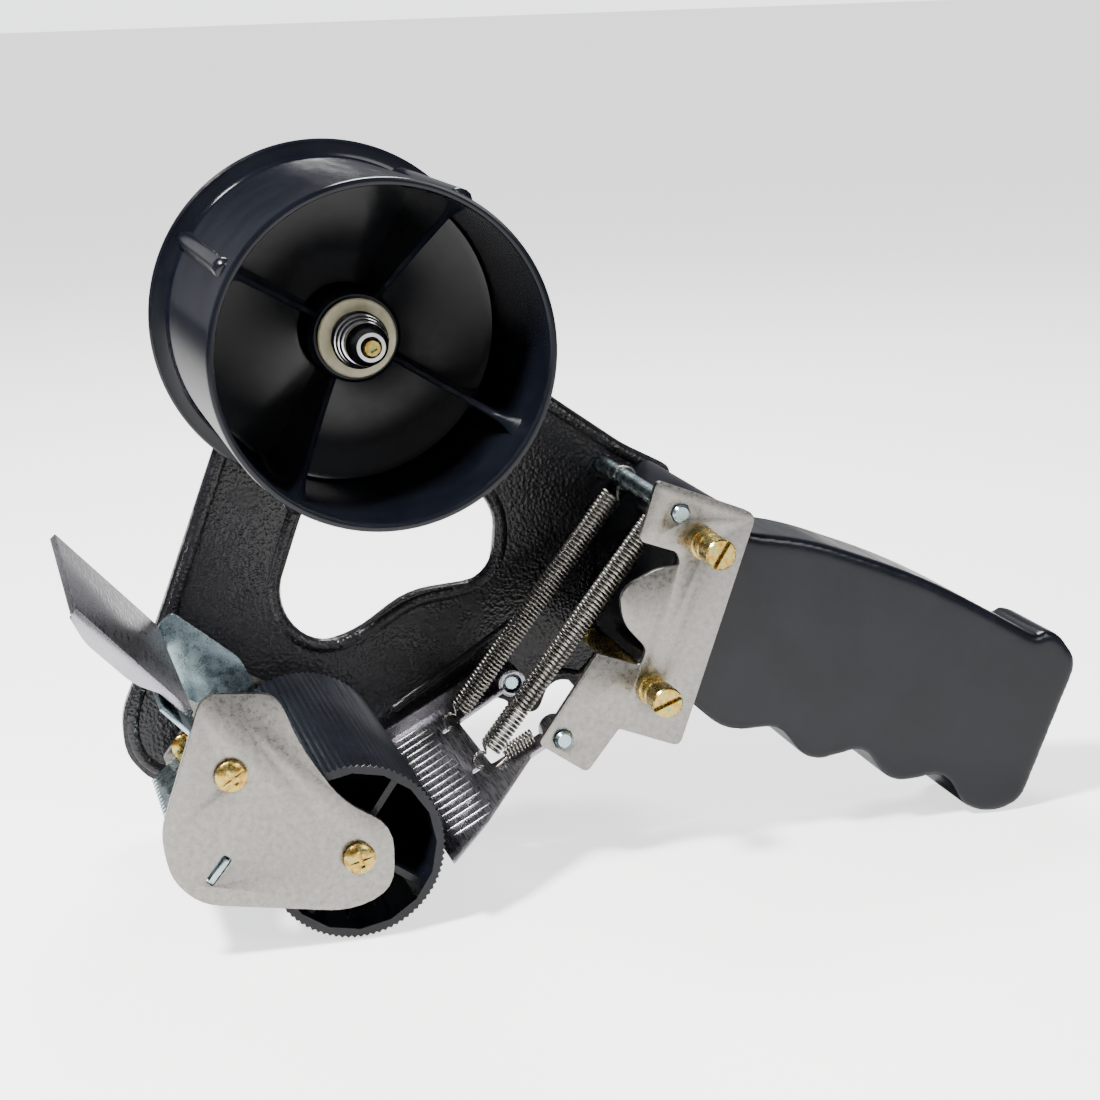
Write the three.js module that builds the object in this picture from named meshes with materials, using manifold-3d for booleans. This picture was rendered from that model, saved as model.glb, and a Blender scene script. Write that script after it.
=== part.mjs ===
// Heavy-duty pistol-grip packing-tape dispenser for 76 mm wide tape.
// Millimetres, +Z up. While it is drawn, x = 0 and z = DRUM.z is the tape drum's axis, which runs
// along +Y, y = 0 is the drum's open rim and z = 0 is the bench. The last lines move the origin to the
// middle of the bottom of the whole tool.
import * as THREE from 'three';
import { mergeVertices } from 'three/addons/utils/BufferGeometryUtils.js';
import Module from 'manifold-3d';

const wasm = await Module();
wasm.setup();

// ---- driving dimensions ----
const GAP = 0.35; // air left between two pieces that touch
const SHEET = 1.5; // side plates and rear bracket
const FRAME = { y: 79, t: 3 };
const DRUM = { z: 126.5, r: 37.7, bore: 35.8, flangeR: 42, flangeT: 1.8, back: 77.6, web: 50, hubR: 10.5, hubY: 34 };
const ROLLER = { x: -13, z: 19.9, tip: 19.88, root: 19.35, bore: 17.9, y0: -5.6, y1: 70, ridges: 88 };
const PIVOT = { x: -39.3, z: 41.7, r: 2.4 };
const SIDE = { y: -9 };
const FAR_SIDE = { y: 73.1 };
const SLOT = { x: -43.3, z: 20.9, angle: Math.atan2(0.77, 0.64), long: 7, wide: 2 };
const TONGUE = { x: 40.1, z: 32.7, angle: Math.atan2(0.466, 0.885), t: 1, pinR: 2.15 };
const ROD = { x: 69.7, z: 83.4, r: 2.1, y0: 14.8 };
const SPRING = { r: 2.75, near: 28, far: 60, wire: 0.4 };
const ARM_SPRING_R = 1.7;
const BRACKET = { y: 16 };
const UPPER_SCREW = { x: 74.5, z: 76.2 };
const LOWER_SCREW = { x: 61.4, z: 42.8 };
const GRIP = { y0: 18, y1: 45, blockY1: 78.6 };

// ---- materials ----
const finish = (color, roughness, metalness) => new THREE.MeshStandardMaterial({ color, roughness, metalness });
const crinklePaint = () => finish(0x15161a, 0.45, 0.3);
const blackPlastic = () => finish(0x0b0c10, 0.25, 0);
const nickel = () => finish(0xb9b4ad, 0.32, 1);
const zinc = () => finish(0xb9c6c8, 0.3, 1);
const yellowZinc = () => finish(0xc9a650, 0.3, 1);
const springSteel = () => finish(0x9a9590, 0.3, 1);
const brightSheet = () => finish(0xa6a4a6, 0.25, 1);
const nylon = () => finish(0xd8d2ba, 0.4, 0);

// ---- geometry helpers ----
function weld(geometry) {
  const bare = geometry.clone();
  bare.deleteAttribute('normal');
  bare.deleteAttribute('uv');
  return mergeVertices(bare, 1e-4);
}

function toSolid(geometry) {
  const { index, attributes } = weld(geometry);
  const vertProperties = new Float32Array(attributes.position.array);
  const triVerts = new Uint32Array(index.array);
  return new wasm.Manifold(new wasm.Mesh({ numProp: 3, vertProperties, triVerts }));
}

function toGeometry(solid) {
  const mesh = solid.getMesh();
  const geometry = new THREE.BufferGeometry();
  geometry.setAttribute('position', new THREE.BufferAttribute(new Float32Array(mesh.vertProperties), 3));
  geometry.setIndex(Array.from(mesh.triVerts));
  geometry.computeVertexNormals();
  return geometry;
}

const join = (first, ...rest) => toGeometry(rest.reduce((sum, g) => sum.add(toSolid(g)), toSolid(first)));
const cut = (body, ...tools) => toGeometry(tools.reduce((left, g) => left.subtract(toSolid(g)), toSolid(body)));

// A closed outline through corners [x, z, cut]: each corner is rounded off over its cut distance.
// A shape runs anticlockwise and a hole runs clockwise, whichever way its corners are listed.
function outline(listed, path = new THREE.Shape()) {
  const area = THREE.ShapeUtils.area(listed.map(([px, pz]) => new THREE.Vector2(px, pz)));
  const wanted = path instanceof THREE.Shape ? 1 : -1;
  const corners = area * wanted > 0 ? listed : [...listed].reverse();
  const point = (i) => new THREE.Vector2(...corners[(i + corners.length) % corners.length].slice(0, 2));
  corners.forEach(([, , round = 0], i) => {
    const here = point(i);
    const before = here.clone().sub(point(i - 1));
    const after = point(i + 1).sub(here);
    const back = Math.min(round, 0.48 * before.length(), 0.48 * after.length());
    before.setLength(back);
    after.setLength(back);
    const start = here.clone().sub(before);
    const end = here.clone().add(after);
    if (i === 0) path.moveTo(start.x, start.y);
    else path.lineTo(start.x, start.y);
    if (round > 0) path.quadraticCurveTo(here.x, here.y, end.x, end.y);
  });
  path.closePath();
  return path;
}

// A sheet or block in the x-z plane between two depths.
function plate(shape, y0, y1, curveSegments = 4) {
  const geometry = new THREE.ExtrudeGeometry(shape, { depth: y1 - y0, bevelEnabled: false, curveSegments });
  return geometry.rotateX(Math.PI / 2).translate(0, y1, 0);
}

function roundHole(shape, x, z, r) {
  shape.holes.push(new THREE.Path().absarc(x, z, r, 0, Math.PI * 2, true));
}

// A turned piece about an axis along y: its profile is a closed list of [radius, y].
function turned(profile, x, z, segments = 24) {
  const points = profile.map(([r, y]) => new THREE.Vector2(r, y));
  const solid = toSolid(new THREE.LatheGeometry(points, segments));
  const outward = solid.volume() < 0 ? toSolid(new THREE.LatheGeometry(points.reverse(), segments)) : solid;
  return toGeometry(outward).translate(x, 0, z);
}

const rod = (r, y0, y1, x, z, segments = 20) => turned([[0, y0], [r, y0], [r, y1], [0, y1]], x, z, segments);

function tube(inner, outer, y0, y1, x, z, segments = 24) {
  return turned([[inner, y0], [outer, y0], [outer, y1], [inner, y1], [inner, y0]], x, z, segments);
}

const box = (dx, dy, dz) => new THREE.BoxGeometry(dx, dy, dz);

// Turns a piece drawn along +x so that it runs at the given angle in the x-z plane, then places it.
const tilt = (geometry, angle, x, y, z) => geometry.rotateY(-angle).translate(x, y, z);

// ---- the frame plate behind everything ----
function framePlate() {
  const shape = outline([
    [-10, 142.5, 7], [-28.1, 95.6, 3], [-44.8, 54, 3], [-55.4, 31, 4], [-55.2, 20.5, 4],
    [-49.5, 13.2, 3], [-20, 6.5, 6], [6, 5, 6], [14, 12.5, 5], [30, 23.4, 2], [39.7, 26, 1],
    [44.4, 21, 2], [50.2, 19, 3], [54, 28, 2], [57.2, 29.8, 1], [61.4, 23.8, 2], [71.5, 34, 4],
    [88.4, 81, 3], [75.6, 88, 3], [59.1, 100.2, 5], [4, 142.4, 6],
  ]);
  shape.holes.push(outline([
    [-7.4, 79, 6], [-16.3, 55, 7], [-7.2, 43.2, 8], [4, 45.5, 6], [18, 54.8, 6], [39.5, 56.2, 7],
    [41.6, 75, 6], [24, 91, 8], [3, 99, 8],
  ], new THREE.Path()));
  roundHole(shape, 0, DRUM.z, 2.4);
  return plate(shape, FRAME.y, FRAME.y + FRAME.t);
}

// ---- the tape drum: a flanged shell and the webbed core pressed into it ----
const RIB_ANGLES = [58, 148, 238, 328].map((degrees) => -degrees * Math.PI / 180);

function drumShell() {
  const { z, r, bore, flangeR, flangeT, back } = DRUM;
  const flange = back - flangeT;
  const wall = turned([
    [bore, 0.5], [bore + 0.5, 0], [r - 0.5, 0], [r, 0.5], [r, flange], [flangeR, flange], [flangeR, back],
    [bore, back], [bore, 0.5],
  ], 0, 0, 60);
  const start = 8;
  const ridges = RIB_ANGLES.map((angle) => new THREE.CylinderGeometry(2.4, 2, flange + 0.5 - start, 10)
    .translate(r - 0.6, (flange + 0.5 + start) / 2, 0).rotateY(angle));
  const bored = cut(join(wall, ...ridges), turned([[0, -1], [bore, -1], [bore, 90], [0, 90]], 0, 0, 60));
  return bored.translate(0, 0, z);
}

function drumCore() {
  const { z, bore, web, hubR, hubY } = DRUM;
  const outer = bore - GAP;
  const webT = 2;
  const axleR = 4.4;
  const disc = turned([
    [axleR, hubY], [hubR, hubY], [hubR, web], [outer, web], [outer, web + webT], [hubR, web + webT],
    [hubR, 74], [axleR, 74], [axleR, hubY],
  ], 0, 0, 48);
  const ribs = RIB_ANGLES.map((angle) => {
    const side = new THREE.Shape();
    side.moveTo(hubR - 1, hubY + 0.5);
    side.lineTo(outer - 0.1, 8);
    side.lineTo(outer - 0.1, web + 0.5);
    side.lineTo(hubR - 1, web + 0.5);
    side.closePath();
    const rib = new THREE.ExtrudeGeometry(side, { depth: 1.8, bevelEnabled: false });
    return rib.translate(0, 0, -0.9).rotateY(angle);
  });
  return join(disc, ...ribs).translate(0, 0, z);
}

// ---- the tape roller ----
function roller() {
  const { x, z, tip, root, bore, y0, y1, ridges } = ROLLER;
  const ring = new THREE.Shape();
  for (let i = 0; i < ridges; i += 1) {
    const step = (Math.PI * 2) / ridges;
    const crest = i * step;
    const valley = crest + step / 2;
    if (i === 0) ring.moveTo(tip * Math.cos(crest), tip * Math.sin(crest));
    else ring.lineTo(tip * Math.cos(crest), tip * Math.sin(crest));
    ring.lineTo(root * Math.cos(valley), root * Math.sin(valley));
  }
  ring.closePath();
  ring.holes.push(new THREE.Path().absarc(0, 0, bore, 0, Math.PI * 2, true));
  const spokes = [tube(3.4, 5.4, y0 + 1, y1 - 1, 0, 0, 24)];
  for (let i = 0; i < 4; i += 1) {
    const spoke = box(bore - 4.6, y1 - y0 - 8, 1.6).translate(4.9 + (bore - 4.6) / 2, (y0 + y1) / 2, 0);
    spokes.push(spoke.rotateY((i + 0.4) * Math.PI / 2));
  }
  return join(plate(ring, y0, y1, 8), ...spokes).translate(x, 0, z);
}

// ---- the side plates that carry the roller, guard and blade ----
function slotShape(grow) {
  const long = SLOT.long / 2 + grow;
  const wide = SLOT.wide / 2 + grow;
  const turn = (dx, dz) => [
    SLOT.x + dx * Math.cos(SLOT.angle) - dz * Math.sin(SLOT.angle),
    SLOT.z + dx * Math.sin(SLOT.angle) + dz * Math.cos(SLOT.angle), 0.4,
  ];
  return [turn(-long, -wide), turn(long, -wide), turn(long, wide), turn(-long, wide)];
}

function frontSidePlate() {
  const shape = outline([
    [-44.2, 60, 3.5], [-28.4, 58.6, 4.5], [-24.6, 47, 7], [-15.6, 32.4, 6], [-5, 26.4, 6], [-5.6, 11.5, 6],
    [-15.5, 7.8, 5], [-47.5, 13.6, 5], [-53.4, 20, 4], [-54.9, 30.5, 4],
  ]);
  shape.holes.push(outline(slotShape(0), new THREE.Path()));
  roundHole(shape, PIVOT.x, PIVOT.z, 2);
  roundHole(shape, ROLLER.x, ROLLER.z, 2);
  return plate(shape, SIDE.y, SIDE.y + SHEET);
}

function farSidePlate() {
  const shape = outline([
    [-46.6, 21, 1], [-40, 29.2, 1], [-44.5, 38, 2], [-42.5, 48, 3], [-34, 46, 3], [-10, 30, 6], [-3, 20, 6],
    [-9, 10.5, 5], [-44.4, 13.6, 1],
  ]);
  roundHole(shape, PIVOT.x, PIVOT.z, 2 + GAP);
  roundHole(shape, ROLLER.x, ROLLER.z, 3.3);
  roundHole(shape, -41.2, 23.2, 1.6);
  return plate(shape, FAR_SIDE.y, FAR_SIDE.y + SHEET);
}

// The cutting blade spans the two side plates, with a tab that passes through the front plate's slot.
function blade() {
  const [y0, y1, low, high, teeth] = [-7, 70.4, -8.2, 4.6, 31];
  const shape = new THREE.Shape();
  shape.moveTo(high, y0);
  shape.lineTo(high, y1);
  for (let i = 0; i < teeth; i += 1) {
    const here = y1 - ((y1 - y0) * i) / teeth;
    shape.lineTo(low + 1.4, here);
    shape.lineTo(low, here - (y1 - y0) / teeth / 2);
  }
  shape.lineTo(low + 1.4, y0);
  shape.closePath();
  const sheet = new THREE.ExtrudeGeometry(shape, { depth: 1, bevelEnabled: false }).translate(0, 0, -0.5);
  tilt(sheet, Math.atan2(0.6, 0.8), SLOT.x, 0, SLOT.z);
  const tab = tilt(box(SLOT.long - 1, 6, SLOT.wide - 0.8), SLOT.angle, SLOT.x, -6.6, SLOT.z);
  return join(sheet, tab);
}

// ---- the swinging guard: a zinc bracket with two ears and the wiper plate it carries ----
const WIPER = { x: -46, z: 54, angle: Math.atan2(25, -22.5), long: 33.6, y0: -4, y1: 70, t: 1.8 };

function guardBracket() {
  const ear = (y0, y1, bored) => {
    const shape = outline([
      [-45.4, 54.6, 1], [-42, 57.6, 1.5], [-26.4, 44.4, 2], [-22.2, 34.6, 2], [-30, 31, 4], [-40, 35, 4],
      [-46.5, 43, 3],
    ]);
    if (bored) roundHole(shape, PIVOT.x, PIVOT.z, PIVOT.r + 0.5);
    return plate(shape, y0, y1);
  };
  const bridge = box(12, 79.7, 1).translate(1, 0, 0);
  const under = WIPER.t + GAP + 0.5;
  const normal = WIPER.angle + Math.PI / 2;
  tilt(bridge, WIPER.angle, WIPER.x + under * Math.cos(normal), 32.85, WIPER.z + under * Math.sin(normal));
  const trunnion = rod(2, 72.2, 78.2, PIVOT.x, PIVOT.z);
  return join(ear(-7.05, -6.1, true), ear(71.7, 72.7, false), bridge, trunnion);
}

function wiperPlate() {
  const { x, z, angle, long, y0, y1, t } = WIPER;
  const sheet = box(long, y1 - y0, t).translate(long / 2 + 0.4, 0, 0);
  const flange = outline([[7.6, 0.5, 0], [long, 0.5, 0], [long, 1.5, 0], [long - 6, 3.3, 2], [14, 3.1, 3]]);
  const lip = plate(flange, -(y1 - y0) / 2, -(y1 - y0) / 2 + 1);
  const both = join(sheet, lip);
  return tilt(both, angle, x, (y0 + y1) / 2, z);
}

// ---- the tongue that rides on the roller and holds the tape ----
function tongue() {
  const { x, z, angle, t, pinR } = TONGUE;
  const sheet = new THREE.Shape();
  const corners = [
    [-36.6, -8.6, 0.5], [-25.6, 0, 0.5], [-8.5, 17.9, 0.5], [0.6, 17.9, 1], [0.6, 25.6, 1], [-16.6, 25.6, 1],
    [-16.6, 61, 1], [0.6, 63, 1], [0.6, 75.8, 1], [-36.6, 75.8, 0.5],
  ];
  outline(corners, sheet);
  for (const y of [SPRING.near, SPRING.far]) {
    sheet.holes.push(outline([
      [-21.6, y - 1.4, 0.8], [-18.2, y - 1.4, 0.8], [-18.2, y + 1.4, 0.8], [-21.6, y + 1.4, 0.8],
    ], new THREE.Path()));
  }
  const flat = new THREE.ExtrudeGeometry(sheet, { depth: t, bevelEnabled: false, curveSegments: 3 });
  flat.translate(0, 0, -t / 2);
  const eye = (y0, y1) => tube(pinR + 0.35, pinR + 1.35, y0, y1, 0, 0, 20);
  const wall = box(30, 1, 3.4).translate(-21, 75.3, 1.7);
  const bored = cut(join(flat, eye(17.9, 25.2), eye(63.4, 75.4), wall), rod(pinR + 0.35, 0, 90, 0, 0));
  return tilt(bored, angle, x, 0, z);
}

// The short springs that lie along the tongue's two arms.
function armSpring(y) {
  const length = 8;
  const coil = new THREE.CylinderGeometry(ARM_SPRING_R, ARM_SPRING_R, length, 12).rotateZ(Math.PI / 2);
  const lift = TONGUE.t / 2 + GAP + ARM_SPRING_R;
  return tilt(coil.translate(-9, 0, lift), TONGUE.angle, TONGUE.x, y, TONGUE.z);
}

// ---- tension springs, drawn as the plain outer shape of the coil with a ring at the rod ----
function tensionSpring(y) {
  const foot = new THREE.Vector3(23.6, y, 26.6);
  const head = new THREE.Vector3(ROD.x, y, ROD.z);
  const along = head.clone().sub(foot).normalize();
  const span = head.distanceTo(foot);
  const coil = new THREE.CylinderGeometry(SPRING.r, SPRING.r, span - 8.4, 12);
  coil.translate(0, (span - 8.4) / 2 + 3.2, 0);
  const hook = new THREE.CylinderGeometry(0.6, 0.6, 4.5, 8).translate(0, 2.25, 0);
  const neck = new THREE.CylinderGeometry(0.6, 0.6, 3, 8).translate(0, span - 4.2, 0);
  const turn = new THREE.Quaternion().setFromUnitVectors(new THREE.Vector3(0, 1, 0), along);
  const straight = join(coil, hook, neck).applyQuaternion(turn).translate(foot.x, foot.y, foot.z);
  const ring = new THREE.TorusGeometry(3.1, 0.5, 8, 20).rotateX(Math.PI / 2);
  return join(straight, ring.translate(ROD.x, y, ROD.z));
}

// ---- the rear bracket ----
function rearBracket() {
  const shape = outline([
    [64.3, 91.6, 1.5], [88.2, 81.6, 2.8], [68.3, 27.6, 2], [53.6, 33.6, 0.6], [45.6, 23.9, 1.5],
    [34.2, 32.2, 1.4], [48.9, 52.2, 1.2], [59.2, 48.2, 1.2], [60.9, 52.1, 1.5], [55.3, 58.8, 3],
    [54.6, 66.6, 4], [64.2, 71, 4], [69.6, 71, 1.6], [68.6, 74.4, 1], [59.6, 77.8, 1.6],
  ]);
  roundHole(shape, ROD.x, ROD.z, ROD.r + GAP);
  roundHole(shape, TONGUE.x, TONGUE.z, TONGUE.pinR + GAP);
  for (const screw of [UPPER_SCREW, LOWER_SCREW]) roundHole(shape, screw.x, screw.z, 2.6);
  return plate(shape, BRACKET.y, BRACKET.y + SHEET);
}

// ---- the pistol grip with its front block ----
function handle() {
  const top = [[87.2, 76.5, 0], [103, 73.4, 8], [132, 61.5, 14], [161.6, 43.6, 0.5], [163.2, 45.2, 1], [167.4, 43.8, 2]];
  const butt = [[172.6, 36.4, 3], [157.8, 2.2, 3], [150.8, -0.6, 4]];
  const grooves = [
    [142.5, 2, 3.5], [137.5, 11.6, 4], [122.5, 10.6, 5], [116.5, 20.8, 4], [101.5, 18.4, 5], [94.5, 28.8, 4],
    [81, 28.6, 5], [71.7, 37.5, 2],
  ];
  const grip = plate(outline([...top, ...butt, ...grooves, [70, 44, 0], [84, 77.6, 0]]), GRIP.y0, GRIP.y1, 6);
  const blockShape = outline([
    [71.6, 79.2, 1], [81.4, 84.6, 1.5], [86.8, 77.4, 1], [70.6, 35.5, 2], [67.2, 34, 1], [65.6, 48, 3],
    [67.4, 66, 3],
  ]);
  const block = plate(blockShape, GRIP.y0, GRIP.blockY1);
  const bores = [rod(2.2, 10, 90, UPPER_SCREW.x, UPPER_SCREW.z), rod(2.4, 10, 90, ROD.x, ROD.z)];
  return cut(join(grip, block), ...bores);
}

// ---- assembly ----
const root = new THREE.Group();

function add(name, geometry, material) {
  const mesh = new THREE.Mesh(geometry, material);
  mesh.name = name;
  root.add(mesh);
}

// Slotted or cross-headed screw with its head at the low-y end.
function screw(x, z, headR, headY, headT, shankR, endY, crossed) {
  const round = turned([
    [0, headY], [headR * 0.8, headY], [headR, headY + headT * 0.4], [headR, headY + headT],
    [shankR, headY + headT], [shankR, endY], [0, endY],
  ], x, z, 20);
  const blades = [box(headR * 2.2, 1.6, 0.8)];
  if (crossed) blades.push(box(0.8, 1.6, headR * 1.2));
  const tools = blades.map((g) => g.rotateY(-0.6).translate(x, headY, z));
  return cut(round, ...tools);
}

add('frame_plate', framePlate(), crinklePaint());
add('drum_shell', drumShell(), blackPlastic());
add('drum_core', drumCore(), blackPlastic());
add('drum_bushing', tube(2.4, 4.0, 34.6, 78.6, 0, DRUM.z), nylon());
add('axle_bolt', turned([
  [0, 14.4], [2.05, 14.4], [2.05, 82.4], [4.2, 82.4], [4.2, 85.6], [0, 85.6],
], 0, DRUM.z, 24), zinc());
add('friction_washer', tube(2.5, 8.9, 32.1, 33.6, 0, DRUM.z, 32), nylon());
add('flat_washer', tube(2.5, 6.95, 30.5, 31.7, 0, DRUM.z, 32), nickel());
add('brake_spring', turned([
  [4, 22.9], [4.9, 22.9], [6.6, 30.1], [5.6, 30.1], [4, 22.9],
], 0, DRUM.z, 32), springSteel());
add('brake_nut', turned([
  [2.4, 17.8], [3.6, 17.8], [4.8, 20], [4.8, 22.5], [2.4, 22.5], [2.4, 17.8],
], 0, DRUM.z, 24), nickel());
add('lock_collar', tube(2.4, 3.5, 15.8, 17.4, 0, DRUM.z, 20), yellowZinc());

add('roller', roller(), blackPlastic());
add('roller_axle', rod(3, -7.1, 78.6, ROLLER.x, ROLLER.z), zinc());
add('roller_axle_screw', screw(ROLLER.x, ROLLER.z, 3.5, -11.3, 2, 1.6, -7.4, true), yellowZinc());
add('front_side_plate', frontSidePlate(), nickel());
add('far_side_plate', farSidePlate(), nickel());
add('far_side_spacer', tube(PIVOT.r + 0.4, 4.4, 75, 78.6, PIVOT.x, PIVOT.z), zinc());
add('roller_spacer', tube(3.4, 5.4, 75, 78.6, ROLLER.x, ROLLER.z), zinc());
add('far_side_screw', screw(-41.2, 23.2, 3.2, 70.9, 1.8, 1.3, 78.6, true), yellowZinc());
add('blade', blade(), zinc());

add('guard_bracket', guardBracket(), zinc());
add('wiper_plate', wiperPlate(), brightSheet());
add('guard_pivot', rod(PIVOT.r, -7.1, 16, PIVOT.x, PIVOT.z), zinc());
add('guard_pivot_screw', screw(PIVOT.x, PIVOT.z, 3.5, -11.2, 1.85, 1.6, -7.4, true), yellowZinc());
add('guard_spring', tube(PIVOT.r + 0.5, 4.2, -4.6, 10, PIVOT.x, PIVOT.z, 16), springSteel());

add('tongue', tongue(), brightSheet());
add('arm_spring_near', armSpring(21.6), springSteel());
add('arm_spring_far', armSpring(66), springSteel());
add('tongue_pin_near', rod(TONGUE.pinR, 14.5, 24.9, TONGUE.x, TONGUE.z), zinc());
add('tongue_pin_far', rod(TONGUE.pinR, 64, 78.6, TONGUE.x, TONGUE.z), zinc());
add('tension_spring_near', tensionSpring(SPRING.near), springSteel());
add('tension_spring_far', tensionSpring(SPRING.far), springSteel());
add('spring_rod', rod(ROD.r, ROD.y0, 78.6, ROD.x, ROD.z), zinc());

add('rear_bracket', rearBracket(), nickel());
add('bracket_screw_upper', screw(UPPER_SCREW.x, UPPER_SCREW.z, 3.55, 1.8, 8, 2, 78.6, false), yellowZinc());
add('bracket_screw_lower', screw(LOWER_SCREW.x, LOWER_SCREW.z, 3.55, 2.4, 8, 2, 22, false), yellowZinc());
add('lower_stud', turned([
  [0, 22.4], [2.6, 22.4], [2.6, 60], [2.1, 61], [2.6, 62], [2.6, 65], [1.6, 67], [0, 67.4],
], LOWER_SCREW.x, LOWER_SCREW.z, 20), yellowZinc());
add('handle', handle(), blackPlastic());

for (const [name, x, z] of [['drum_axle_nut', 0, DRUM.z]]) {
  add(name, tube(2.5, 4, 86, 88.2, x, z, 6), zinc());
}

const bounds = new THREE.Box3().setFromObject(root);
const middle = bounds.getCenter(new THREE.Vector3());
root.position.set(-middle.x, -middle.y, -bounds.min.z);

export default root;
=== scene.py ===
import math

import bmesh
import bpy
from mathutils import Matrix, Vector


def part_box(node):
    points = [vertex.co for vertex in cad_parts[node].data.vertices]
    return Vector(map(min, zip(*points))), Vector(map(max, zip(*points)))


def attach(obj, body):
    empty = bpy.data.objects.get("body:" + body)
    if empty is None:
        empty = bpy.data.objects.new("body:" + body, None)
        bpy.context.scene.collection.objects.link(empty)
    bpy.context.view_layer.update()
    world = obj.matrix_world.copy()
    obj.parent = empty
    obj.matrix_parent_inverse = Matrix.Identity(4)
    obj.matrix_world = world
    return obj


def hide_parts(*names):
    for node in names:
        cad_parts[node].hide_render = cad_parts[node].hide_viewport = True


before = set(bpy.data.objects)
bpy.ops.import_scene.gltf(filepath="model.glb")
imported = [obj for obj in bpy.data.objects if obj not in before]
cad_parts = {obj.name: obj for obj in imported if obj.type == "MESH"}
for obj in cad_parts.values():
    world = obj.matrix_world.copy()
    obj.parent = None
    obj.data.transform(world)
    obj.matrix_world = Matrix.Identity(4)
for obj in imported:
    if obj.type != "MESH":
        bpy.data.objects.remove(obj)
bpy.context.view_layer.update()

# ---------------------------------------------------------------------------------------------
# Places: millimetres from the drum's axis (x), its open rim (y) and the bench (z)
# ---------------------------------------------------------------------------------------------
MM = 0.001
DRUM_LOW, DRUM_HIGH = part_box("drum_shell")
AXIS_X = (DRUM_LOW.x + DRUM_HIGH.x) / 2
AXIS_Z = (DRUM_LOW.z + DRUM_HIGH.z) / 2
AXIS_HEIGHT = 126.5  # the drum's axis above the bench


def at(x, y, z):
    """A place in the row frame, in metres."""
    return Vector((AXIS_X + x * MM, DRUM_LOW.y + y * MM, AXIS_Z + (z - AXIS_HEIGHT) * MM))


HUB = (0, AXIS_HEIGHT)
ROLLER_AXLE = (-13.0, 19.9)
GUARD_PIVOT = (-39.3, 41.7)
FAR_SCREW = (-41.2, 23.2)
UPPER_SCREW = (74.5, 76.2)
LOWER_SCREW = (61.4, 42.8)
SPRING_ROD = (69.7, 83.4)
TONGUE_PIN = (40.1, 32.7)
TONGUE_ANGLE = math.atan2(0.466, 0.885)
SPRING_DEPTHS = {"near": 28, "far": 60}
SPRING_FOOT = (22.6, 25.0)


# ---------------------------------------------------------------------------------------------
# Shader expressions
# ---------------------------------------------------------------------------------------------
class Value:
    """A number that varies over a surface; arithmetic on it adds Math nodes."""

    def __init__(self, finish, socket):
        self.finish = finish
        self.socket = socket

    def _math(self, operation, first, second):
        return self.finish.node("ShaderNodeMath", {"operation": operation}, {0: first, 1: second})

    def __add__(self, other):
        return self._math("ADD", self, other)

    def __radd__(self, other):
        return self._math("ADD", other, self)

    def __sub__(self, other):
        return self._math("SUBTRACT", self, other)

    def __rsub__(self, other):
        return self._math("SUBTRACT", other, self)

    def __mul__(self, other):
        return self._math("MULTIPLY", self, other)

    def __rmul__(self, other):
        return self._math("MULTIPLY", other, self)

    def __gt__(self, other):
        return self._math("GREATER_THAN", self, other)


class Finish:
    """One material and the few node recipes that the finishes share."""

    def __init__(self, name, **uniform):
        self.material = bpy.data.materials.new(name)
        self.material.use_nodes = True
        self.tree = self.material.node_tree
        self.shader = self.tree.nodes["Principled BSDF"]
        for socket, value in uniform.items():
            self.shader.inputs[socket.replace("_", " ")].default_value = value
        self.place = self.node("ShaderNodeTexCoord", {}, {}, output="Object")

    def node(self, kind, settings, sockets, output=0):
        made = self.tree.nodes.new(kind)
        for key, value in settings.items():
            if key == "stops":
                self._set_stops(made.color_ramp, value)
            else:
                setattr(made, key, value)
        for key, value in sockets.items():
            if isinstance(value, Value):
                self.tree.links.new(value.socket, made.inputs[key])
            else:
                made.inputs[key].default_value = value
        return Value(self, made.outputs[output])

    @staticmethod
    def _set_stops(ramp, stops):
        while len(ramp.elements) < len(stops):
            ramp.elements.new(0.5)
        for element, (position, color) in zip(ramp.elements, stops):
            element.position = position
            element.color = (*color, 1)

    def stretched(self, x, y, z, turn=0.0):
        return self.node("ShaderNodeMapping", {}, {
            "Vector": self.place, "Rotation": (0, turn, 0), "Scale": (x, y, z)})

    def noise(self, size_mm, detail=3.0, roughness=0.5, vector=None):
        return self.node("ShaderNodeTexNoise", {}, {
            "Vector": vector or self.place, "Scale": 1 / (size_mm * MM), "Detail": detail,
            "Roughness": roughness})

    def cells(self, size_mm, feature="F1"):
        return self.node("ShaderNodeTexVoronoi", {"feature": feature}, {
            "Vector": self.place, "Scale": 1 / (size_mm * MM)})

    def range(self, value, low, high, to_low, to_high):
        return self.node("ShaderNodeMapRange", {"interpolation_type": "SMOOTHSTEP"}, {
            "Value": value, "From Min": low, "From Max": high, "To Min": to_low, "To Max": to_high})

    def ramp(self, value, stops):
        return self.node("ShaderNodeValToRGB", {"stops": stops}, {"Fac": value})

    def bump(self, height, depth_mm, strength=1.0):
        return self.node("ShaderNodeBump", {}, {
            "Height": height, "Distance": depth_mm * MM, "Strength": strength})

    def wear(self):
        """Rises on convex edges, where a finish rubs thin."""
        bend = self.node("ShaderNodeNewGeometry", {}, {}, output="Pointiness")
        return self.range(bend, 0.52, 0.6, 0.0, 1.0)

    def feed(self, **links):
        for socket, value in links.items():
            self.tree.links.new(value.socket, self.shader.inputs[socket.replace("_", " ")])
        return self.material


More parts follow.
